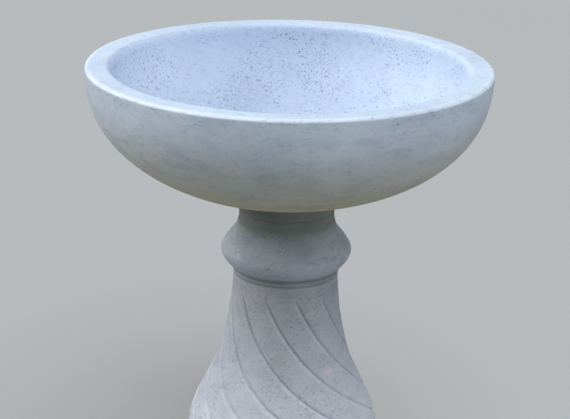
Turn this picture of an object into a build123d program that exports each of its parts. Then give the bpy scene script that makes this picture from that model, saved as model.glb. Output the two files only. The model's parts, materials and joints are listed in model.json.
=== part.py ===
from build123d import *

import os
from math import cos, radians, sin

# Cast-stone bird bath: a thick round bowl that sits on a baluster pedestal with spiral grooves.
# Millimetres, +Z up, origin on the ground at the centre of the foot.
# Outlines are given as (radius, height) and turned about the Z axis.

# Bowl
total_height = 640.0
bowl_radius = 250.0
bowl_height = 165.0
bowl_outer_depth = 168.9  # to the tip of the outside curve, before the underside is cut flat
bowl_outer_fullness = 2.36  # 2 is an ellipse, more is squarer
bowl_inner_radius = 218.5
bowl_inner_depth = 128.0
bowl_inner_fullness = 2.2
bowl_stations = 10  # points along each dish curve
rim_outer_round = 4.5
rim_inner_round = 6.0

# Locating pin and its two cast-in sleeves
pin_radius = 9.95
pin_clearance = 0.05
pin_end_gap = 0.5
pin_chamfer = 1.5
sleeve_wall = 2.5
bowl_socket_depth = 25.0
pedestal_socket_depth = 60.0

# Seating pads between pedestal and bowl
pad_count = 3
pad_radius = 9.0
pad_thickness = 1.7
pad_ring_radius = 40.0
seat_gap = 0.3

# Pedestal foot
plinth_radius = 140.0
plinth_height = 38.0
plinth_round = 5.0
foot_step_radius = 126.0
foot_ring_radius = 118.0
foot_ring_root_radius = 111.0
foot_ring_low_z = 44.0
foot_ring_high_z = 70.0

# Pedestal shaft, from the tuck over the foot, round the belly, up to the scored lines
tuck_point = (113.0, 80.0)
belly_points = [(116.8, 100.0), (121.4, 128.0), (122.6, 152.0), (119.1, 180.0)]
flare_points = [(107.3, 210.0), (92.8, 240.0), (81.3, 270.0), (73.6, 303.0), (68.6, 338.0)]
shaft_top_point = (66.3, 370.5)

# Pedestal neck: a thin fillet between two scored lines, a torus, a hollow and a plain band
score_depth = 1.6
fillet_radius = 67.6
fillet_low_z = 373.0
fillet_high_z = 377.5
torus_foot_point = (67.4, 379.5)
torus_points = [(78.0, 391.0), (82.6, 403.0), (76.4, 416.0), (64.2, 432.0)]
hollow_point = (60.2, 445.0)
band_radius = 61.9
band_top_radius = 61.3
band_low_z = 457.0
band_round = 2.0

# Spiral grooves, cut down the shaft
groove_count = 11
groove_radius = 4.0
groove_depth = 1.8
groove_clearance = 0.5  # of the cutter from the surface where a groove begins and ends
groove_first_place = 0.96  # along the shaft curve, 1 at its top
groove_last_place = 0.04
groove_fade = 0.11  # share of the shaft curve over which the depth comes in
groove_stations = 15
groove_angle = -111.0  # degrees from +X, seen from above, at groove_angle_z
groove_angle_z = 354.0
groove_twist = 0.375  # degrees per mm down the shaft
groove_twist_growth = 0.00149  # degrees per mm squared

# Reinforcement of the pedestal
rod_count = 4
rod_radius = 4.0
rod_ring_radius = 34.0
rod_low_z = 28.0
rod_high_z = 448.0
hoop_count = 5
hoop_radius = 2.5
hoop_gap = 1.0
hoop_low_z = 50.0
hoop_high_z = 430.0

# Reinforcement of the bowl, placed by the angle round the dish curve: 0 at the rim, 90 at the centre
bar_count = 6
bar_radius = 3.0
bar_first_angle = 10.0
bar_last_angle = 80.0
bar_stations = 8
bar_share = 0.42  # of the wall, from the outside in
ring_radius = 3.0
rim_ring_angle = 4.5
rim_ring_share = 0.5
lower_ring_angle = 50.0
lower_ring_share = 0.66

# Heights and radii that follow from those
seat_z = total_height - bowl_height
pedestal_top_z = seat_z - seat_gap - pad_thickness
sleeve_bore = pin_radius + pin_clearance
sleeve_radius = sleeve_bore + sleeve_wall
hoop_ring_radius = rod_ring_radius + rod_radius + hoop_gap + hoop_radius


def finish(piece, label):
    """Name a piece and write its file."""
    piece.part.label = label
    export_step(piece.part, f"parts/{label}.step")


def turned(point, angle):
    """A (radius, height) point, set round the axis by an angle in degrees."""
    radius, height = point
    return (radius * cos(radians(angle)), radius * sin(radians(angle)), height)


def dish_point(radius, depth, fullness, angle):
    """Point of a dish curve that hangs from the rim's height."""
    drop = depth * sin(radians(angle)) ** (2 / fullness)
    return (radius * cos(radians(angle)), total_height - drop)


def outer_point(angle):
    """Point of the bowl's outside."""
    return dish_point(bowl_radius, bowl_outer_depth, bowl_outer_fullness, angle)


def inner_point(angle):
    """Point of the bowl's inside."""
    return dish_point(bowl_inner_radius, bowl_inner_depth, bowl_inner_fullness, angle)


def wall_point(angle, share):
    """Point inside the bowl's wall, a share of the way from the outside in."""
    (outer_r, outer_z), (inner_r, inner_z) = outer_point(angle), inner_point(angle)
    return (outer_r + share * (inner_r - outer_r), outer_z + share * (inner_z - outer_z))


def spaced(first, last, count):
    """Evenly spaced values from first to last."""
    return [first + (last - first) * index / (count - 1) for index in range(count)]


def make_ring(centre, wire_radius):
    """A closed steel ring round the axis."""
    with BuildPart() as ring:
        with BuildSketch(Plane.XZ):
            with Locations(centre):
                Circle(wire_radius)
        revolve(axis=Axis.Z)
    return ring


def make_disc(place, radius, thickness):
    """A round bar or disc that stands up from a place."""
    with BuildPart() as disc:
        with BuildSketch(Plane(origin=place)):
            Circle(radius)
        extrude(amount=thickness)
    return disc


def make_sleeve(low_z, length):
    """A tube round the axis for the locating pin."""
    with BuildPart() as sleeve:
        with BuildSketch(Plane.XY.offset(low_z)):
            Circle(sleeve_radius)
            Circle(sleeve_bore, mode=Mode.SUBTRACT)
        extrude(amount=length)
    return sleeve


def make_bar(angle):
    """A bowl bar, bent to the wall's curve."""
    path = [turned(wall_point(place, bar_share), angle) for place in
            spaced(bar_first_angle, bar_last_angle, bar_stations)]
    with BuildPart() as bar:
        with BuildLine() as bar_line:
            Spline(*path)
        with BuildSketch(Plane(origin=bar_line.line @ 0, z_dir=bar_line.line % 0)):
            Circle(bar_radius)
        sweep()
    return bar


os.makedirs("parts", exist_ok=True)

# Locating pin: a plain bar, loose in both sleeves
pin_low_z = pedestal_top_z - pedestal_socket_depth + pin_end_gap
pin_high_z = seat_z + bowl_socket_depth - pin_end_gap
with BuildPart() as locating_pin:
    with BuildSketch(Plane.XY.offset(pin_low_z)):
        Circle(pin_radius)
    extrude(amount=pin_high_z - pin_low_z)
    chamfer(locating_pin.edges().filter_by(GeomType.CIRCLE), pin_chamfer)
finish(locating_pin, "locating_pin")

# Sleeves: cast flush into the pedestal's top and the bowl's underside
pedestal_sleeve = make_sleeve(pedestal_top_z - pedestal_socket_depth, pedestal_socket_depth)
finish(pedestal_sleeve, "pedestal_sleeve")
bowl_sleeve = make_sleeve(seat_z, bowl_socket_depth)
finish(bowl_sleeve, "bowl_sleeve")

# Seating pads: rubber discs on the pedestal's top
for number in range(pad_count):
    pad_place = turned((pad_ring_radius, pedestal_top_z), 90 + number * 360 / pad_count)
    finish(make_disc(pad_place, pad_radius, pad_thickness), f"seat_pad_{number + 1}")

# Pedestal steel: upright rods, with hoops round them
pedestal_steel = []
for number in range(rod_count):
    rod_place = turned((rod_ring_radius, rod_low_z), 45 + number * 360 / rod_count)
    rod = make_disc(rod_place, rod_radius, rod_high_z - rod_low_z)
    finish(rod, f"pedestal_rod_{number + 1}")
    pedestal_steel.append(rod)
for number, hoop_z in enumerate(spaced(hoop_low_z, hoop_high_z, hoop_count)):
    hoop = make_ring((hoop_ring_radius, hoop_z), hoop_radius)
    finish(hoop, f"pedestal_hoop_{number + 1}")
    pedestal_steel.append(hoop)

# Bowl steel: bent bars in the wall, a ring over their tops and a ring laid on them
bowl_steel = []
for number in range(bar_count):
    bar = make_bar(number * 360 / bar_count)
    finish(bar, f"bowl_bar_{number + 1}")
    bowl_steel.append(bar)
for label, angle, share in (("bowl_rim_ring", rim_ring_angle, rim_ring_share),
                            ("bowl_lower_ring", lower_ring_angle, lower_ring_share)):
    ring = make_ring(wall_point(angle, share), ring_radius)
    finish(ring, label)
    bowl_steel.append(ring)

# Bowl: the two dish curves joined by a flat rim, with the underside cut flat to seat
outside = [outer_point(angle) for angle in spaced(0, 90, bowl_stations)]
inside = [inner_point(angle) for angle in spaced(90, 0, bowl_stations)]
with BuildPart() as bowl:
    with BuildSketch(Plane.XZ):
        with BuildLine():
            Spline(*outside, tangents=[(0, -1), (-1, 0)])
            Line(outside[-1], inside[0])
            Spline(*inside, tangents=[(1, 0), (0, 1)])
            Line(inside[-1], outside[0])
        make_face()
    revolve(axis=Axis.Z)
    split(bisect_by=Plane.XY.offset(seat_z), keep=Keep.TOP)
    rim_edges = bowl.edges().filter_by(GeomType.CIRCLE).group_by(Axis.Z)[-1].sort_by(SortBy.RADIUS)
    fillet(rim_edges[-1], rim_outer_round)
    rim_edges = bowl.edges().filter_by(GeomType.CIRCLE).group_by(Axis.Z)[-1].sort_by(SortBy.RADIUS)
    fillet(rim_edges[0], rim_inner_round)
    with BuildSketch(Plane.XY.offset(seat_z)):
        Circle(sleeve_radius)
    extrude(amount=bowl_socket_depth, mode=Mode.SUBTRACT)
    for steel in bowl_steel:
        add(steel.part, mode=Mode.SUBTRACT)
finish(bowl, "bowl")

# Pedestal, before its grooves and its cast-in pieces
with BuildPart() as pedestal:
    with BuildSketch(Plane.XZ):
        with BuildLine():
            Polyline(
                (0, pedestal_top_z),
                (0, 0),
                (plinth_radius, 0),
                (plinth_radius, plinth_height),
                (foot_step_radius, plinth_height),
                (foot_ring_root_radius, foot_ring_low_z),
            )
            ThreePointArc(
                (foot_ring_root_radius, foot_ring_low_z),
                (foot_ring_radius, (foot_ring_low_z + foot_ring_high_z) / 2),
                (foot_ring_root_radius, foot_ring_high_z),
            )
            Line((foot_ring_root_radius, foot_ring_high_z), tuck_point)
            shaft_curve = Spline(tuck_point, *belly_points, *flare_points, shaft_top_point)
            Polyline(
                shaft_top_point,
                (fillet_radius - score_depth, shaft_top_point[1] + score_depth),
                (fillet_radius, fillet_low_z),
                (fillet_radius, fillet_high_z),
                (fillet_radius - score_depth, fillet_high_z + score_depth / 2),
                torus_foot_point,
            )
            Spline(torus_foot_point, *torus_points, hollow_point, tangents=[(1, 1), (0, 1)])
            Polyline(
                hollow_point,
                (hollow_point[0], band_low_z - score_depth),
                (band_radius, band_low_z),
                (band_top_radius, pedestal_top_z),
                (0, pedestal_top_z),
            )
        make_face()
    revolve(axis=Axis.Z)
    round_edges = pedestal.edges().filter_by(GeomType.CIRCLE)
    fillet(round_edges.filter_by_position(Axis.Z, plinth_height, plinth_height).sort_by(SortBy.RADIUS)[-1],
           plinth_round)
    fillet(pedestal.edges().filter_by(GeomType.CIRCLE).group_by(Axis.Z)[-1], band_round)

# Groove cutter: a round rod that follows the shaft curve, and lies clear of it at both ends
groove_path = []
for place in spaced(groove_first_place, groove_last_place, groove_stations):
    on_shaft = shaft_curve @ place
    along_shaft = shaft_curve % place
    reach = min(groove_first_place - place, place - groove_last_place, groove_fade) / groove_fade
    standoff = groove_radius + groove_clearance - reach * (groove_depth + groove_clearance)
    cutter_point = (on_shaft.X + standoff * along_shaft.Y, on_shaft.Y - standoff * along_shaft.X)
    drop = groove_angle_z - on_shaft.Y
    turn = groove_angle + groove_twist * drop + groove_twist_growth * drop**2
    groove_path.append(turned(cutter_point, turn))
with BuildPart() as groove:
    with BuildLine() as groove_line:
        Spline(*groove_path)
    with BuildSketch(Plane(origin=groove_line.line @ 0, z_dir=groove_line.line % 0)):
        Circle(groove_radius)
    sweep()

# Pedestal: grooved, then hollowed for the pin's sleeve and the cast-in steel
with pedestal:
    with PolarLocations(0, groove_count):
        add(groove.part, mode=Mode.SUBTRACT)
    with BuildSketch(Plane.XY.offset(pedestal_top_z)):
        Circle(sleeve_radius)
    extrude(amount=-pedestal_socket_depth, mode=Mode.SUBTRACT)
    for steel in pedestal_steel:
        add(steel.part, mode=Mode.SUBTRACT)
finish(pedestal, "pedestal")
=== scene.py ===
import json
import math

import bpy
import numpy as np
from mathutils import Matrix, Vector, noise


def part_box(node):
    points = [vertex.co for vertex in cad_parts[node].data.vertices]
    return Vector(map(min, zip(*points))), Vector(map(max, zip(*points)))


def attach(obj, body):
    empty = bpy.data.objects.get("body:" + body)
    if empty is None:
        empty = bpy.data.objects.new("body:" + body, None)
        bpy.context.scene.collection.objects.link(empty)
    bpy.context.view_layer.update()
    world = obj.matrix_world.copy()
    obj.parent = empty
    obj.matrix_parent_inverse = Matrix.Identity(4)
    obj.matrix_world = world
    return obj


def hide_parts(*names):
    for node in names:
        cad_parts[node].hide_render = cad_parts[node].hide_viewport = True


# Looks of the cast-stone bird bath. Lengths are in metres, in the CAD model's frame, and the
# pedestal's outline points are in millimetres. Outlines are (radius, height), turned about the Z axis.

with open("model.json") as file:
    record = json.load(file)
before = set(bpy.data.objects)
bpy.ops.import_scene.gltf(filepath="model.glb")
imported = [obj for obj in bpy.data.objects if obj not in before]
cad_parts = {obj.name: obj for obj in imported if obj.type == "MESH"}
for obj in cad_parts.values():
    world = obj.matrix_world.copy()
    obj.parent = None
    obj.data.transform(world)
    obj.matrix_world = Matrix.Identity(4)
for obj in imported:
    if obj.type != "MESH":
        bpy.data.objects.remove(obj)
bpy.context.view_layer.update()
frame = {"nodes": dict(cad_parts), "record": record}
bowl_low, bowl_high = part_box("bowl")
pedestal_top_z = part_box("pedestal")[1].z
sleeve_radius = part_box("pedestal_sleeve")[1].x
MM = 0.001

# Bowl, as in the CAD model
RIM_Z = bowl_high.z
BOWL_RADIUS = 0.250
BOWL_OUTER_DEPTH = 0.1689
BOWL_OUTER_FULLNESS = 2.36
BOWL_INNER_RADIUS = 0.2185
BOWL_INNER_DEPTH = 0.128
BOWL_INNER_FULLNESS = 2.2
RIM_OUTER_ROUND = 0.0045
RIM_INNER_ROUND = 0.006
SOCKET_DEPTH = 0.025

# Pedestal outline, as in the CAD model
PEDESTAL_SOCKET_DEPTH = 0.060
FOOT = [(140, 0), (140, 38), (126, 38), (111, 44)]
FOOT_RING = [(111, 44), (116.2, 49.7), (118, 57), (116.2, 64.3), (111, 70)]
TUCK = (113, 80)
BELLY = [(116.8, 100), (121.4, 128), (122.6, 152), (119.1, 180)]
FLARE = [(107.3, 210), (92.8, 240), (81.3, 270), (73.6, 303), (68.6, 338), (66.3, 370.5)]
SHAFT = [TUCK, *BELLY, *FLARE]
SCORED_LINES = [(65.2, 372.0), (67.2, 373.2), (67.2, 377.0), (65.9, 378.3), (67.4, 379.5)]
TORUS = [(67.4, 379.5), (78.0, 391.0), (82.6, 403.0), (76.4, 416.0), (64.2, 432.0), (60.2, 445.0)]
BAND = [(60.2, 455.4), (61.9, 457.0), (61.3, 473.0)]

# Spiral grooves: placed and turned as in the CAD model, with one steep and one easy wall
GROOVES = 11
GROOVE_HIGH_Z = 0.362
GROOVE_LOW_Z = 0.090
GROOVE_ANGLE = math.radians(-111.0)  # at GROOVE_ANGLE_Z
GROOVE_ANGLE_Z = 0.354
GROOVE_TWIST = math.radians(375.0)  # per metre down the shaft
GROOVE_TWIST_GROWTH = math.radians(1490.0)  # per metre squared
GROOVE_DEPTH = 0.0021
GROOVE_LOW_FADE = 0.040  # heights over which the depth comes in
GROOVE_HIGH_FADE = 0.026
LIT_WALL = 0.0034  # widths of the two walls of a groove
DARK_WALL = 0.0052
LIT_WALL_POWER = 0.9
DARK_WALL_POWER = 1.2
LOBE_CROWN = 0.0007
LOBE_SINK = 0.6  # share of the crown's height that lies under the plain shaft

# Places of the points across a lobe: in shares of each wall's width, and evenly between the walls
DARK_PLACES = np.array([0, 0.12, 0.25, 0.38, 0.52, 0.68, 0.84, 1.0])
LIT_PLACES = np.array([1.6, 1.25, 1.0, 0.8, 0.6, 0.4, 0.2])
BETWEEN_WALLS = 11
LOBE_POINTS = len(DARK_PLACES) + BETWEEN_WALLS + len(LIT_PLACES)

# Wear and unevenness: swells are (height, waves per metre, seed)
BOWL_COLUMNS = 352
BOWL_WEAR = 0.0009
BOWL_SWELLS = [(0.0006, 7, 1), (0.00018, 28, 2)]
BOWL_SHRINK = 0.0004  # keeps the swells inside the CAD model
PEDESTAL_WEAR = 0.0012
PEDESTAL_SWELLS = [(0.0004, 9, 3), (0.00014, 40, 4)]
PEDESTAL_SHRINK = 0.0003
SEED_STEPS = (3.1, 1.7, 2.3)  # shift of the noise for each seed, along X, Y and Z

# Points of the outlines
AXIS_GAP = 0.0005  # radius at which an outline starts or ends, before its last point on the axis
OUTSIDE_POINTS = 140
INSIDE_POINTS = 95
INSIDE_END = 89.7  # degrees, just short of the centre of the dish
UNDERSIDE_GAP = 0.001  # between the flat underside's last point and the outside's first
SAME_PLACE = 1e-5  # points nearer than this count as one


# Outlines

def soft_step(low, high, values):
    """0 below low, 1 above high, and smooth between."""
    share = np.clip((np.asarray(values, float) - low) / (high - low), 0, 1)
    return share * share * (3 - 2 * share)


def curve_through(points, spacing):
    """A smooth line through points, with points about that far apart (Catmull-Rom, chord lengths)."""
    points = np.array(points, float)
    first = 2 * points[0] - points[1]
    last = 2 * points[-1] - points[-2]
    padded = np.vstack([first, points, last])
    made = []
    for index in range(1, len(padded) - 2):
        before, here, there, after = padded[index - 1:index + 3]
        chord = np.linalg.norm(there - here)
        leave = (there - before) / (np.linalg.norm(there - here) + np.linalg.norm(here - before)) * chord
        arrive = (after - here) / (np.linalg.norm(after - there) + np.linalg.norm(there - here)) * chord
        count = max(2, round(chord / spacing))
        for share in np.arange(count) / count:
            square, cube = share ** 2, share ** 3
            made.append((2 * cube - 3 * square + 1) * here + (cube - 2 * square + share) * leave
                        + (3 * square - 2 * cube) * there + (cube - square) * arrive)
    made.append(points[-1])
    return made


def straight_through(points, spacing):
    """Straight runs through points, with points about that far apart."""
    made = []
    for here, there in zip(np.array(points[:-1], float), np.array(points[1:], float)):
        count = max(1, round(np.linalg.norm(there - here) / spacing))
        made.extend(here + (there - here) * share for share in np.arange(count) / count)
    made.append(np.array(points[-1], float))
    return made


def arc(centre, radius, first, last, count):
    """Points of an arc, from one angle in degrees to another."""
    angles = np.radians(np.linspace(first, last, count))
    return [np.array([centre[0] + radius * math.cos(a), centre[1] + radius * math.sin(a)]) for a in angles]


def joined(*runs):
    """Runs of points as one outline, without points on top of each other."""
    points = [np.asarray(point, float) for run in runs for point in run]
    kept = [points[0]]
    for point in points[1:]:
        if np.linalg.norm(point - kept[-1]) > SAME_PLACE:
            kept.append(point)
    return np.array(kept)


def worn(outline, reach):
    """The outline with its corners worn round over a reach of that length."""
    steps = np.linalg.norm(np.diff(outline, axis=0), axis=1)
    along = np.concatenate([[0], np.cumsum(steps)])
    fine = np.linspace(0, along[-1], int(along[-1] / (reach / 5)) + 2)
    dense = np.column_stack([np.interp(fine, along, outline[:, side]) for side in (0, 1)])
    width = int(3 * reach / (fine[1] - fine[0]))
    weights = np.exp(-0.5 * (np.arange(-width, width + 1) * (fine[1] - fine[0]) / reach) ** 2)
    weights /= weights.sum()
    before = 2 * dense[0] - dense[width:0:-1]
    after = 2 * dense[-1] - dense[-2:-width - 2:-1]
    padded = np.vstack([before, dense, after])
    smooth = np.column_stack([np.convolve(padded[:, side], weights, mode="valid") for side in (0, 1)])
    return np.column_stack([np.interp(along, fine, smooth[:, side]) for side in (0, 1)])


def outline_normals(outline):
    """Unit normals of an outline, on its right-hand side."""
    ahead = np.gradient(outline, axis=0)
    normals = np.column_stack([ahead[:, 1], -ahead[:, 0]])
    return normals / np.linalg.norm(normals, axis=1)[:, None]


def make_turned(name, places):
    """A closed mesh from a grid of points: rows along the outline, columns round the axis.

    The grid's two ends are closed by a point on the axis.
    """
    rows, columns = places.shape[:2]
    mesh = bpy.data.meshes.new(name)
    vertices = np.vstack([places[0].mean(0)[None], places.reshape(-1, 3), places[-1].mean(0)[None]])
    last = len(vertices) - 1
    faces = []
    for row in range(rows - 1):
        for column in range(columns):
            beside = (column + 1) % columns
            here, there = 1 + row * columns, 1 + (row + 1) * columns
            faces.append((here + column, here + beside, there + beside, there + column))
    for column in range(columns):
        beside = (column + 1) % columns
        faces.append((0, 1 + beside, 1 + column))
        faces.append((last, last - columns + column, last - columns + beside))
    mesh.from_pydata(vertices.tolist(), [], faces)
    mesh.polygons.foreach_set("use_smooth", np.ones(len(mesh.polygons), bool))
    mesh.update()
    piece = bpy.data.objects.new(name, mesh)
    bpy.context.scene.collection.objects.link(piece)
    return piece


def unevenness(place, swells):
    """Slow unevenness of a hand-finished casting."""
    total = 0
    for height, scale, seed in swells:
        offset = Vector([seed * step for step in SEED_STEPS])
        total += height * noise.noise(Vector(place) * scale + offset)
    return total


# Bowl mesh

def dish(radius, depth, fullness, first, last, count):
    """Points of a dish curve from one angle in degrees to another, 0 at the rim and 90 at the centre."""
    angles = np.radians(np.linspace(first, last, count))
    drops = depth * np.sin(angles) ** (2 / fullness)
    return [np.array(point) for point in zip(radius * np.cos(angles), RIM_Z - drops)]


def bowl_outline():
    """From the socket in the underside, round the outside and the rim, to the centre of the dish."""
    seat = bowl_low.z
    socket_z = seat + SOCKET_DEPTH
    socket = straight_through([(AXIS_GAP, socket_z), (sleeve_radius, socket_z), (sleeve_radius, seat)], 0.003)
    edge_z = RIM_Z - RIM_OUTER_ROUND
    outer_curve = dish(BOWL_RADIUS, BOWL_OUTER_DEPTH, BOWL_OUTER_FULLNESS, 90, 0, OUTSIDE_POINTS)
    outside = [point for point in outer_curve if seat < point[1] < edge_z]
    underside = straight_through([(sleeve_radius, seat), (outside[0][0] - UNDERSIDE_GAP, seat)], 0.004)
    edge = arc((BOWL_RADIUS - RIM_OUTER_ROUND, edge_z), RIM_OUTER_ROUND, 0, 90, 9)
    inner_edge_z = RIM_Z - RIM_INNER_ROUND
    inner_edge = arc((BOWL_INNER_RADIUS + RIM_INNER_ROUND, inner_edge_z), RIM_INNER_ROUND, 90, 180, 10)
    rim = straight_through([edge[-1], inner_edge[0]], 0.0022)
    inner_curve = dish(BOWL_INNER_RADIUS, BOWL_INNER_DEPTH, BOWL_INNER_FULLNESS, 0, INSIDE_END, INSIDE_POINTS)
    inside = [point for point in inner_curve if point[1] < inner_edge_z]
    return worn(joined(socket, underside, outside, edge, rim, inner_edge, inside), BOWL_WEAR)


def make_bowl():
    """The bowl, with swells that fade out by the socket so that the sleeve still fits."""
    plain_radius, fade = 0.06, 0.05
    outline = bowl_outline()
    normals = outline_normals(outline)
    angles = np.arange(BOWL_COLUMNS) * 2 * math.pi / BOWL_COLUMNS
    places = np.empty((len(outline), BOWL_COLUMNS, 3))
    for row, ((radius, height), (out, up)) in enumerate(zip(outline, normals)):
        free = min(1, max(0, (radius - plain_radius) / fade))
        for column, angle in enumerate(angles):
            across, ahead = math.cos(angle), math.sin(angle)
            swell = unevenness((radius * across, radius * ahead, height), BOWL_SWELLS)
            swell = (swell - BOWL_SHRINK) * free
            reach = radius + swell * out
            places[row, column] = (reach * across, reach * ahead, height + swell * up)
    return make_turned("stone_bowl", places)


# Pedestal mesh

def scaled(points):
    """Points in metres from points in millimetres."""
    return [(radius * MM, height * MM) for radius, height in points]


def pedestal_outline():
    """From the centre of the foot, up the outside, to the bottom of the socket in the top."""
    socket_z = pedestal_top_z - PEDESTAL_SOCKET_DEPTH
    socket_mouth = (sleeve_radius, pedestal_top_z)
    ground = straight_through([(AXIS_GAP, 0), scaled(FOOT)[0]], 0.012)
    top = straight_through([(BAND[-1][0] * MM, pedestal_top_z), socket_mouth], 0.004)
    socket = straight_through([socket_mouth, (sleeve_radius, socket_z), (AXIS_GAP, socket_z)], 0.006)
    outside = joined(
        straight_through(scaled(FOOT), 0.0028),
        curve_through(scaled(FOOT_RING), 0.0020),
        straight_through(scaled([FOOT_RING[-1], SHAFT[0]]), 0.0020),
        curve_through(scaled(SHAFT), 0.0024),
        straight_through(scaled([SHAFT[-1], *SCORED_LINES]), 0.0005),
        curve_through(scaled(TORUS), 0.0012),
        straight_through(scaled([TORUS[-1], *BAND]), 0.0009),
    )
    softened = worn(outside, PEDESTAL_WEAR)
    softened[0], softened[-1] = outside[0], outside[-1]
    return joined(ground, softened, top, socket)


def groove_turn(height):
    """Angle by which the grooves have turned at a height, and its rate per metre down."""
    drop = GROOVE_ANGLE_Z - min(max(height, GROOVE_LOW_Z), GROOVE_HIGH_Z)
    return (GROOVE_ANGLE + GROOVE_TWIST * drop + GROOVE_TWIST_GROWTH * drop ** 2,
            GROOVE_TWIST + 2 * GROOVE_TWIST_GROWTH * drop)


def groove_stations(width):
    """Distances across one lobe, from its groove to the next, close together by the grooves."""
    dark = DARK_WALL * DARK_PLACES
    lit = width - LIT_WALL * LIT_PLACES
    between = np.linspace(dark[-1], lit[0], BETWEEN_WALLS + 2)[1:-1]
    return np.concatenate([dark, between, lit])


def lobe_height(across, width):
    """Height of a lobe over the shaft, at distances across it."""
    dark = np.clip(across / DARK_WALL, 0, 1)
    lit = np.clip((width - across) / LIT_WALL, 0, 1)
    dark_rise = np.sin(dark * math.pi / 2) ** DARK_WALL_POWER
    lit_rise = np.sin(lit * math.pi / 2) ** LIT_WALL_POWER
    crown = 4 * (across / width) * (1 - across / width)
    return -GROOVE_DEPTH * (1 - np.minimum(dark_rise, lit_rise)) + LOBE_CROWN * (crown - LOBE_SINK)


def make_pedestal():
    """The pedestal, in columns that follow its grooves, and plain at the foot's and the top's faces."""
    plain_radius, plain_end = 0.05, 0.004
    outward = 0.3  # the shaft's outline faces at least that far outward
    lobe_angle = 2 * math.pi / GROOVES
    outline = pedestal_outline()
    normals = outline_normals(outline)
    places = np.empty((len(outline), LOBE_POINTS * GROOVES, 3))
    for row, ((radius, height), (out, up)) in enumerate(zip(outline, normals)):
        turn, rate = groove_turn(height)
        lean = math.cos(math.atan(radius * rate))
        width = lobe_angle * max(radius, plain_radius) * lean
        across = groove_stations(width)
        on_shaft = height if out > outward else -1
        fade = float(soft_step(GROOVE_LOW_Z, GROOVE_LOW_Z + GROOVE_LOW_FADE, on_shaft)
                     * (1 - soft_step(GROOVE_HIGH_Z - GROOVE_HIGH_FADE, GROOVE_HIGH_Z, on_shaft)))
        heights = lobe_height(across, width) * fade
        free = plain_end < height < pedestal_top_z - plain_end and radius > plain_radius
        for column in range(LOBE_POINTS * GROOVES):
            lobe, station = divmod(column, LOBE_POINTS)
            angle = turn + (lobe + across[station] / width) * lobe_angle
            right, ahead = math.cos(angle), math.sin(angle)
            swell = unevenness((radius * right, radius * ahead, height), PEDESTAL_SWELLS)
            swell = (swell - PEDESTAL_SHRINK) * free + heights[station]
            reach = radius + swell * out
            places[row, column] = (reach * right, reach * ahead, height + swell * up)
    return make_turned("stone_pedestal", places)


# Colours, as linear (red, green, blue, 1); a tint multiplies the colour under it

RIM_TONE = (0.68, 0.80, 0.95, 1)
INSIDE_TONE = (0.60, 0.71, 0.86, 1)
OUTSIDE_TONE = (0.51, 0.58, 0.655, 1)
# Painted highlight along the rounded outer edge of the rim
EDGE_HIGHLIGHT_TONE = (0.80, 0.89, 1.0, 1)
# Painted shade, tinted olive, on the bowl's underside
UNDERSIDE_SHADE_TONE = (0.375, 0.35, 0.205, 1)
PEDESTAL_TONES_AND_SHADE = [  # height and tone; painted shade darkens the top of the shaft, the torus and, dark olive, the neck under the bowl
    (0.050, (0.60, 0.62, 0.65, 1)),
    (0.200, (0.56, 0.58, 0.63, 1)),
    (0.300, (0.41, 0.43, 0.47, 1)),
    (0.360, (0.32, 0.34, 0.36, 1)),
    (0.395, (0.37, 0.395, 0.44, 1)),
    (0.415, (0.43, 0.45, 0.50, 1)),
    (0.430, (0.37, 0.39, 0.425, 1)),
    (0.442, (0.185, 0.215, 0.185, 1)),
]
BOWL_SPECK = (0.11, 0.18, 0.34, 1)
PEDESTAL_SPECK = (0.10, 0.12, 0.16, 1)
CLOUD_TINT = (0.91, 0.925, 0.95, 1)
STREAK_TINT = (0.80, 0.82, 0.86, 1)
LILAC_TINT = (1.015, 0.975, 0.985, 1)
FLECK_TINT = (0.80, 0.84, 0.89, 1)
GRAIN_TINT = (0.93, 0.94, 0.95, 1)
NICK_TINT = (0.45, 0.50, 0.58, 1)
# Grime and painted shade in the scored lines, painted shade under the band
SCORED_GRIME_AND_SHADE_TINT = (0.40, 0.44, 0.37, 1)
# Painted shade in the bottoms of the grooves
GROOVE_SHADE_TINT = (0.68, 0.70, 0.74, 1)
# Painted highlight on the lip before each groove
LIP_HIGHLIGHT_TINT = (1.13, 1.13, 1.13, 1)
PIN_GREY = (0.60, 0.61, 0.62, 1)
SLEEVE_GREY = (0.50, 0.50, 0.50, 1)
BAR_GREY = (0.26, 0.25, 0.25, 1)
RUST = (0.20, 0.075, 0.028, 1)
RUBBER_BLACK = (0.018, 0.018, 0.019, 1)
RUBBER_DUST = (0.09, 0.088, 0.083, 1)
FLOOR_TONES = ((0.45, 0.45, 0.45, 1), (0.47, 0.47, 0.47, 1))

# Specks of aggregate: spacing, radius, share of the cells that hold one, and strength
SPECKS = [(0.0029, 0.0008, 1.0, 0.66), (0.0041, 0.0011, 1.0, 0.70), (0.0056, 0.0015, 0.9, 0.66)]

# Grime and painted shade in the scored lines, and painted shade under the band: height, reach and strength
SCORED_GRIME_AND_SHADE = [(0.3722, 0.0036, 0.60), (0.3788, 0.0066, 0.80), (0.4555, 0.0028, 0.40)]

# Painted shade at the bottom of a groove and a painted highlight on the lip before it, in shares of a lobe's
# width
GROOVE_SHADE = 0.68
SHADE_AFTER = 0.09
SHADE_BEFORE = 0.985
HIGHLIGHT_RISE = (0.83, 0.93)
HIGHLIGHT_FALL = (0.955, 0.985)

# Stains on the shaft: angle in degrees, height, radius of the shaft there, reach and tint
STAINS = [
    (-49.0, 0.261, 0.084, 0.009, (1.20, 1.08, 1.08, 1)),
    (-96.0, 0.279, 0.079, 0.010, (0.96, 0.90, 0.89, 1)),
]

# The surface in the middle of the bowl's wall, which parts its inside from its outside
SHELL_RADIUS = 0.2385
SHELL_DEPTH = 0.1485
SHELL_FULLNESS = 2.3

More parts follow.
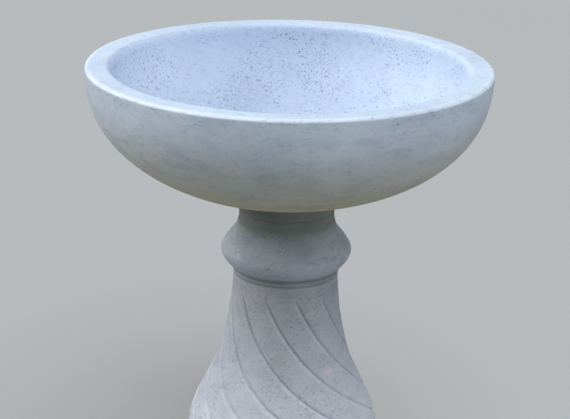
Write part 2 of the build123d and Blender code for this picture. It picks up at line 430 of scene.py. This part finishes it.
# Depths under the rim between which the bowl's tones change
EDGE_DEPTHS = (0.0048, 0.0022)
RIM_DEPTHS = (0.014, 0.004)
NICK_DEPTHS = (0.016, 0.009)
OUTSIDE_DEPTH = 0.010  # where the outside has its full tone, clear of the painted underside shade


# Materials

def add_node(material, kind, inputs=None, **settings):
    """A shader node, with its inputs given by name or number as values or as sockets to link."""
    node = material.node_tree.nodes.new(kind)
    for name, value in settings.items():
        setattr(node, name, value)
    for name, value in (inputs or {}).items():
        if isinstance(value, bpy.types.NodeSocket):
            material.node_tree.links.new(value, node.inputs[name])
        else:
            node.inputs[name].default_value = value
    return node


def place_of(material):
    """The place on the piece."""
    return add_node(material, "ShaderNodeTexCoord").outputs["Object"]


def math_of(material, operation, *values):
    """The result of a Math node."""
    return add_node(material, "ShaderNodeMath", dict(enumerate(values)), operation=operation).outputs[0]


def product(material, first, second):
    """Two values multiplied."""
    return math_of(material, "MULTIPLY", first, second)


def vector_of(material, operation, *values):
    """The vector result of a Vector Math node."""
    return add_node(material, "ShaderNodeVectorMath", dict(enumerate(values)), operation=operation).outputs[0]


def ramp_of(material, value, low, high, first=0.0, last=1.0):
    """A value mapped smoothly from low..high to first..last."""
    inputs = {"Value": value, "From Min": low, "From Max": high, "To Min": first, "To Max": last}
    return add_node(material, "ShaderNodeMapRange", inputs, interpolation_type="SMOOTHSTEP").outputs[0]


def noise_of(material, place, scale, detail=3.0, roughness=0.5):
    """A noise texture's value."""
    inputs = {"Vector": place, "Scale": scale, "Detail": detail, "Roughness": roughness}
    return add_node(material, "ShaderNodeTexNoise", inputs).outputs[0]


def mix_of(material, share, first, second, blend="MIX"):
    """Two colours mixed."""
    inputs = {0: share, 6: first, 7: second}
    return add_node(material, "ShaderNodeMix", inputs, data_type="RGBA", blend_type=blend).outputs[2]


def shaded(material, share, colour, tint):
    """A colour multiplied by a tint over a share of the surface."""
    return mix_of(material, share, colour, mix_of(material, 1.0, colour, tint, "MULTIPLY"))


def new_material(name):
    """A material with no nodes yet."""
    material = bpy.data.materials.new(name)
    material.use_nodes = True
    material.node_tree.nodes.clear()
    return material


def finish_material(material, colour, roughness, height, distance, **fixed):
    """Ends a material with one shader: a linked colour, roughness and bump, and fixed values for the rest."""
    bump = add_node(material, "ShaderNodeBump", {"Height": height, "Distance": distance, "Strength": 1.0})
    inputs = {"Base Color": colour, "Roughness": roughness, "Normal": bump.outputs[0], **fixed}
    shader = add_node(material, "ShaderNodeBsdfPrincipled", inputs)
    add_node(material, "ShaderNodeOutputMaterial", {"Surface": shader.outputs[0]})
    return material


def ragged_of(material, place, scale, reach):
    """The place pushed about by fine noise, which makes round specks ragged."""
    noise_inputs = {"Vector": place, "Scale": scale, "Detail": 2.0}
    push = add_node(material, "ShaderNodeTexNoise", noise_inputs).outputs["Color"]
    centred = vector_of(material, "SUBTRACT", push, (0.5, 0.5, 0.5))
    return vector_of(material, "MULTIPLY_ADD", centred, (reach, reach, reach), place)


def specks_of(material, place, spacing, radius, share):
    """A mask of round specks of differing size and strength: that share of the cells hold one."""
    size = radius / spacing
    cell_inputs = {"Vector": place, "Scale": 1 / spacing, "Randomness": 1.0}
    cells = add_node(material, "ShaderNodeTexVoronoi", cell_inputs)
    chance = add_node(material, "ShaderNodeSeparateColor", {"Color": cells.outputs["Color"]})
    chosen = math_of(material, "LESS_THAN", chance.outputs[0], share)
    reach = math_of(material, "MULTIPLY_ADD", chance.outputs[1], 0.8 * size, 0.6 * size)
    edge = math_of(material, "SUBTRACT", reach, cells.outputs["Distance"])
    disc = ramp_of(material, edge, 0.0, 0.5 * size)
    strength = math_of(material, "MULTIPLY_ADD", chance.outputs[2], 0.6, 0.4)
    return product(material, product(material, chosen, disc), strength)


def finish_stone(material, place, tone, speck, speckled, streaked):
    """Cast stone over a tone: soft clouds, streaks, faint lilac, flecks, crowds of specks and fine grain."""
    flat = vector_of(material, "MULTIPLY", place, (1.0, 1.0, 2.2))
    cloud = noise_of(material, place, scale=8.0, detail=4.0, roughness=0.55)
    streak = noise_of(material, flat, scale=27.0, detail=5.0, roughness=0.55)
    lilac = noise_of(material, place, scale=26.0)
    fleck = noise_of(material, flat, scale=110.0, detail=4.0, roughness=0.70)
    grain = noise_of(material, place, scale=520.0, roughness=0.6)
    rub = noise_of(material, place, scale=60.0, detail=4.0, roughness=0.6)

    colour = shaded(material, ramp_of(material, cloud, 0.38, 0.66), tone, CLOUD_TINT)
    streak_share = product(material, ramp_of(material, streak, 0.42, 0.72), streaked)
    colour = shaded(material, streak_share, colour, STREAK_TINT)
    colour = shaded(material, ramp_of(material, lilac, 0.44, 0.66), colour, LILAC_TINT)
    colour = shaded(material, ramp_of(material, fleck, 0.53, 0.67), colour, FLECK_TINT)

    crowd = ramp_of(material, noise_of(material, place, scale=15.0), 0.38, 0.58, 0.12, 1.0)
    crowd = product(material, crowd, speckled)
    ragged = ragged_of(material, place, scale=650.0, reach=0.0016)
    for spacing, radius, share, strength in SPECKS:
        specks = product(material, specks_of(material, ragged, spacing, radius, share), crowd)
        colour = mix_of(material, product(material, specks, strength), colour, speck)
    colour = shaded(material, ramp_of(material, grain, 0.35, 0.70, 0.0, 0.8), colour, GRAIN_TINT)

    # The last and largest specks are pits as well
    relief = math_of(material, "MULTIPLY_ADD", rub, 0.5, product(material, grain, 0.2))
    relief = math_of(material, "SUBTRACT", relief, product(material, specks, 0.3))
    roughness = ramp_of(material, rub, 0.3, 0.7, 0.66, 0.88)
    return finish_material(material, colour, roughness, relief, distance=0.0009, Metallic=0.0)


def ramp_under_rim(material, z, depths, first=0.0, last=1.0):
    """A ramp up the bowl from one depth under its rim to another."""
    return ramp_of(material, z, RIM_Z - depths[0], RIM_Z - depths[1], first, last)


def bowl_stone():
    """Blue-white inside and on the rim with a painted highlight on the outer edge, greyer outside, and a
    painted olive shade on the underside.
    """
    material = new_material("bowl_stone")
    place = place_of(material)
    x, y, z = add_node(material, "ShaderNodeSeparateXYZ", {"Vector": place}).outputs

    # Where the outside and the rim are: shell is under 1 inside the middle of the wall
    square = math_of(material, "MULTIPLY_ADD", y, y, product(material, x, x))
    drop = math_of(material, "DIVIDE", math_of(material, "SUBTRACT", RIM_Z, z), SHELL_DEPTH)
    deep = math_of(material, "POWER", drop, SHELL_FULLNESS)
    shell = math_of(material, "MULTIPLY_ADD", square, 1 / SHELL_RADIUS ** 2, deep)
    below_edge = ramp_under_rim(material, z, EDGE_DEPTHS, 1.0, 0.0)
    outside = product(material, ramp_of(material, shell, 0.98, 1.05), below_edge)
    on_rim = ramp_under_rim(material, z, RIM_DEPTHS)

    inner_tone = mix_of(material, on_rim, INSIDE_TONE, RIM_TONE)
    # Painted highlight: a paler tone on the rim's rounded outer edge
    inner_tone = mix_of(material, ramp_of(material, shell, 1.03, 1.07), inner_tone, EDGE_HIGHLIGHT_TONE)
    # Painted shade: the outside darkens to an olive tone towards the underside
    above_underside_shade = ramp_of(material, z, bowl_low.z, RIM_Z - OUTSIDE_DEPTH)
    outer_tone = mix_of(material, above_underside_shade, UNDERSIDE_SHADE_TONE, OUTSIDE_TONE)

    # Long dark nicks just under the rim's edge
    low = vector_of(material, "MULTIPLY", place, (1.0, 1.0, 5.0))
    nick = ramp_of(material, noise_of(material, low, scale=85.0), 0.60, 0.72)
    band = product(material, ramp_under_rim(material, z, NICK_DEPTHS), below_edge)
    outer_tone = shaded(material, product(material, nick, band), outer_tone, NICK_TINT)

    tone = mix_of(material, outside, inner_tone, outer_tone)
    speckled = math_of(material, "MULTIPLY_ADD", outside, -0.85, 1.0)
    speckled = product(material, speckled, math_of(material, "MULTIPLY_ADD", on_rim, -0.6, 1.0))
    streaked = math_of(material, "MULTIPLY_ADD", outside, 0.62, 0.15)
    return finish_stone(material, place, tone, BOWL_SPECK, speckled, streaked)


def tones_and_shade_by_height(material, z):
    """The pedestal's tone by height, with painted shade under the bowl."""
    share = math_of(material, "DIVIDE", z, pedestal_top_z)
    heights = add_node(material, "ShaderNodeValToRGB", {"Fac": share})
    stops = heights.color_ramp.elements
    while len(stops) < len(PEDESTAL_TONES_AND_SHADE):
        stops.new(0.5)
    for stop, (height, tone) in zip(stops, PEDESTAL_TONES_AND_SHADE):
        stop.position = height / pedestal_top_z
        stop.color = tone
    return heights.outputs["Color"]


def grooved(material, colour, x, y, z):
    """Painted shade along the bottoms of the grooves, and a painted highlight on the lip beside each."""
    held_inputs = {"Value": z, "Min": GROOVE_LOW_Z, "Max": GROOVE_HIGH_Z}
    held = add_node(material, "ShaderNodeClamp", held_inputs).outputs[0]
    drop = math_of(material, "SUBTRACT", GROOVE_ANGLE_Z, held)
    rate = math_of(material, "MULTIPLY_ADD", drop, GROOVE_TWIST_GROWTH, GROOVE_TWIST)
    turn = math_of(material, "MULTIPLY_ADD", drop, rate, GROOVE_ANGLE)
    around = math_of(material, "SUBTRACT", math_of(material, "ARCTAN2", y, x), turn)
    lobe = math_of(material, "FRACT", product(material, around, GROOVES / (2 * math.pi)))
    below_top = ramp_of(material, z, GROOVE_HIGH_Z - GROOVE_HIGH_FADE, GROOVE_HIGH_Z, 1.0, 0.0)
    above_end = ramp_of(material, z, GROOVE_LOW_Z, GROOVE_LOW_Z + GROOVE_LOW_FADE)
    cut = product(material, below_top, above_end)
    # Painted shade in the bottom of each groove
    after = ramp_of(material, lobe, 0.0, SHADE_AFTER, 1.0, 0.0)
    before = ramp_of(material, lobe, SHADE_BEFORE, 1.0)
    groove_shade = product(material, math_of(material, "ADD", after, before), product(material, cut, GROOVE_SHADE))
    colour = shaded(material, groove_shade, colour, GROOVE_SHADE_TINT)
    # Painted highlight: a paler band on the lip before each groove
    rising = ramp_of(material, lobe, *HIGHLIGHT_RISE)
    falling = ramp_of(material, lobe, *HIGHLIGHT_FALL, 1.0, 0.0)
    lip_highlight = product(material, product(material, rising, falling), cut)
    return shaded(material, lip_highlight, colour, LIP_HIGHLIGHT_TINT)


def stained(material, colour, place):
    """Small stains with ragged edges on the shaft."""
    for angle, height, radius, reach, tint in STAINS:
        centre = (radius * math.cos(math.radians(angle)), radius * math.sin(math.radians(angle)), height)
        distance = add_node(material, "ShaderNodeVectorMath", {0: place, 1: centre}, operation="DISTANCE")
        ragged = noise_of(material, place, scale=260.0, detail=4.0, roughness=0.65)
        edge = math_of(material, "MULTIPLY_ADD", ragged, -reach, distance.outputs["Value"])
        colour = shaded(material, ramp_of(material, edge, 0.0, 0.6 * reach, 1.0, 0.0), colour, tint)
    return colour


def pedestal_stone():
    """Grey and darkened by painted shade under the bowl, paler down the shaft, with grime and painted shade
    in the scored lines, painted shade along the grooves and a painted highlight on each groove's lip.
    """
    material = new_material("pedestal_stone")
    place = place_of(material)
    x, y, z = add_node(material, "ShaderNodeSeparateXYZ", {"Vector": place}).outputs
    colour = tones_and_shade_by_height(material, z)
    for line_z, reach, strength in SCORED_GRIME_AND_SHADE:
        # Grime and painted shade darken the scored lines, painted shade the band's lower edge
        away = math_of(material, "ABSOLUTE", math_of(material, "SUBTRACT", z, line_z))
        colour = shaded(material, ramp_of(material, away, 0.0, reach, strength, 0.0), colour, SCORED_GRIME_AND_SHADE_TINT)
    colour = grooved(material, colour, x, y, z)
    colour = stained(material, colour, place)
    speckled = ramp_of(material, z, 0.34, 0.40, 0.60, 0.55)
    streaked = ramp_of(material, z, 0.36, 0.40, 0.55, 1.0)
    return finish_stone(material, place, colour, PEDESTAL_SPECK, speckled, streaked)


def metal(name, colour, darkening, roughness, rusted):
    """Steel: long fine streaks, and rust in patches where it isn't stainless."""
    material = new_material(name)
    place = place_of(material)
    stretched = vector_of(material, "MULTIPLY", place, (1.0, 1.0, 0.08))
    streak = noise_of(material, stretched, scale=900.0)
    darker = tuple(channel * darkening for channel in colour[:3]) + (1,)
    shade = mix_of(material, streak, darker, colour)
    patch = noise_of(material, place, scale=70.0, detail=5.0, roughness=0.65)
    rust = ramp_of(material, patch, 0.42, 0.62, 0.0, rusted)
    shade = mix_of(material, rust, shade, RUST)
    smooth = ramp_of(material, streak, 0.2, 0.8, roughness, roughness + 0.12)
    coarse = math_of(material, "MULTIPLY_ADD", rust, 0.35, smooth)
    relief = math_of(material, "ADD", streak, patch)
    return finish_material(material, shade, coarse, relief, distance=0.00015, Metallic=0.9)


def rubber(name):
    """Black rubber with a fine grain and a little dust."""
    material = new_material(name)
    place = place_of(material)
    grain = noise_of(material, place, scale=900.0)
    dust = noise_of(material, place, scale=120.0, detail=4.0, roughness=0.6)
    dust = ramp_of(material, dust, 0.45, 0.75, 0.0, 0.4)
    shade = mix_of(material, dust, RUBBER_BLACK, RUBBER_DUST)
    roughness = ramp_of(material, grain, 0.3, 0.7, 0.7, 0.9)
    return finish_material(material, shade, roughness, grain, distance=0.0002, Metallic=0.0)


def set_material(piece, material):
    """Gives a piece one material in its only slot."""
    if piece.data.materials:
        piece.data.materials[0] = material
    else:
        piece.data.materials.append(material)


# Pieces

bowl = make_bowl()
set_material(bowl, bowl_stone())
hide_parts("bowl")
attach(bowl, "bowl")

pedestal = make_pedestal()
set_material(pedestal, pedestal_stone())
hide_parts("pedestal")
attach(pedestal, "pedestal")

slot_materials = {
    "pad_rubber": rubber("pad_rubber"),
    "pin_steel": metal("pin_steel", PIN_GREY, darkening=0.75, roughness=0.28, rusted=0.0),
    "sleeve_steel": metal("sleeve_steel", SLEEVE_GREY, darkening=0.7, roughness=0.38, rusted=0.25),
    "reinforcing_steel": metal("reinforcing_steel", BAR_GREY, darkening=0.6, roughness=0.5, rusted=0.85),
}
for subpart in frame["record"]["subparts"]:
    if subpart["material_slot"] in slot_materials:
        set_material(frame["nodes"][subpart["node"]], slot_materials[subpart["material_slot"]])


# Camera, floor and light

CAMERA_DISTANCE = 2.139
CAMERA_RISE = 0.537  # over the rim
CAMERA_PITCH = math.radians(18.72)
CAMERA_YAW = math.radians(-0.06)
CAMERA_ROLL = math.radians(1.2)
CAMERA_LENS = 113.68421  # millimetres, on a sensor 36 mm wide
FLOOR_REACH = 14.0
WORLD_LOW = (0.04, 0.045, 0.04, 1)
WORLD_HIGH = (0.80, 0.90, 1.0, 1)
WORLD_STRENGTH = 0.39

# Lights: name, direction that the light comes from, power, width in degrees and colour
LIGHTS = [
    ("left", (-2.5, 0.25, 1.50), 2.30, 32, (1.0, 0.985, 0.96)),
    ("front", (0.5, -2.2, 3.4), 1.22, 36, (0.96, 0.98, 1.0)),
    ("right", (2.2, -1.1, 1.0), 0.80, 34, (0.96, 0.98, 1.0)),
]


def add_camera():
    """A camera in front of the bird bath and above its rim, looking down."""
    data = bpy.data.cameras.new("camera")
    data.sensor_width = 36.0
    data.lens = CAMERA_LENS
    data.clip_end = 100.0
    camera = bpy.data.objects.new("camera", data)
    bpy.context.scene.collection.objects.link(camera)
    level = math.cos(CAMERA_PITCH)
    ahead = Vector((math.sin(CAMERA_YAW) * level, math.cos(CAMERA_YAW) * level, -math.sin(CAMERA_PITCH)))
    right = Vector((math.cos(CAMERA_YAW), -math.sin(CAMERA_YAW), 0))
    up = right.cross(ahead)
    turned_right = right * math.cos(CAMERA_ROLL) + up * math.sin(CAMERA_ROLL)
    turned_up = up * math.cos(CAMERA_ROLL) - right * math.sin(CAMERA_ROLL)
    axes = Matrix((turned_right, turned_up, -ahead)).transposed()
    camera.matrix_world = Matrix.Translation((0, -CAMERA_DISTANCE, RIM_Z + CAMERA_RISE)) @ axes.to_4x4()
    bpy.context.scene.camera = camera


def add_floor():
    """A plain pale grey floor."""
    corners = [(-1, -1), (1, -1), (1, 1), (-1, 1)]
    mesh = bpy.data.meshes.new("floor")
    mesh.from_pydata([(x * FLOOR_REACH, y * FLOOR_REACH, 0) for x, y in corners], [], [(0, 1, 2, 3)])
    floor = bpy.data.objects.new("floor", mesh)
    bpy.context.scene.collection.objects.link(floor)
    material = new_material("floor")
    cloud = noise_of(material, place_of(material), scale=1.2, detail=2.0)
    colour = mix_of(material, cloud, *FLOOR_TONES)
    finish_material(material, colour, roughness=0.8, height=cloud, distance=0.0001, Metallic=0.0)
    set_material(floor, material)


def add_light(name, place, power, width, colour):
    """A very large soft light, far off in the direction of a place."""
    data = bpy.data.lights.new(name, "SUN")
    data.energy = power
    data.angle = math.radians(width)
    data.color = colour
    light = bpy.data.objects.new(name, data)
    light.rotation_euler = Vector(place).to_track_quat("Z", "Y").to_euler()
    bpy.context.scene.collection.objects.link(light)


def add_world():
    """Soft light from all round, brighter from above."""
    world = bpy.data.worlds.new("studio")
    world.use_nodes = True
    bpy.context.scene.world = world
    direction = add_node(world, "ShaderNodeTexCoord").outputs["Generated"]
    height = add_node(world, "ShaderNodeSeparateXYZ", {"Vector": direction}).outputs["Z"]
    colour = mix_of(world, ramp_of(world, height, 0.1, 0.75), WORLD_LOW, WORLD_HIGH)
    background = world.node_tree.nodes["Background"]
    world.node_tree.links.new(colour, background.inputs["Color"])
    background.inputs["Strength"].default_value = WORLD_STRENGTH


add_camera()
add_floor()
add_world()
for name, place, power, width, colour in LIGHTS:
    add_light(name, place, power, width, colour)
bpy.context.scene.view_settings.view_transform = "Standard"
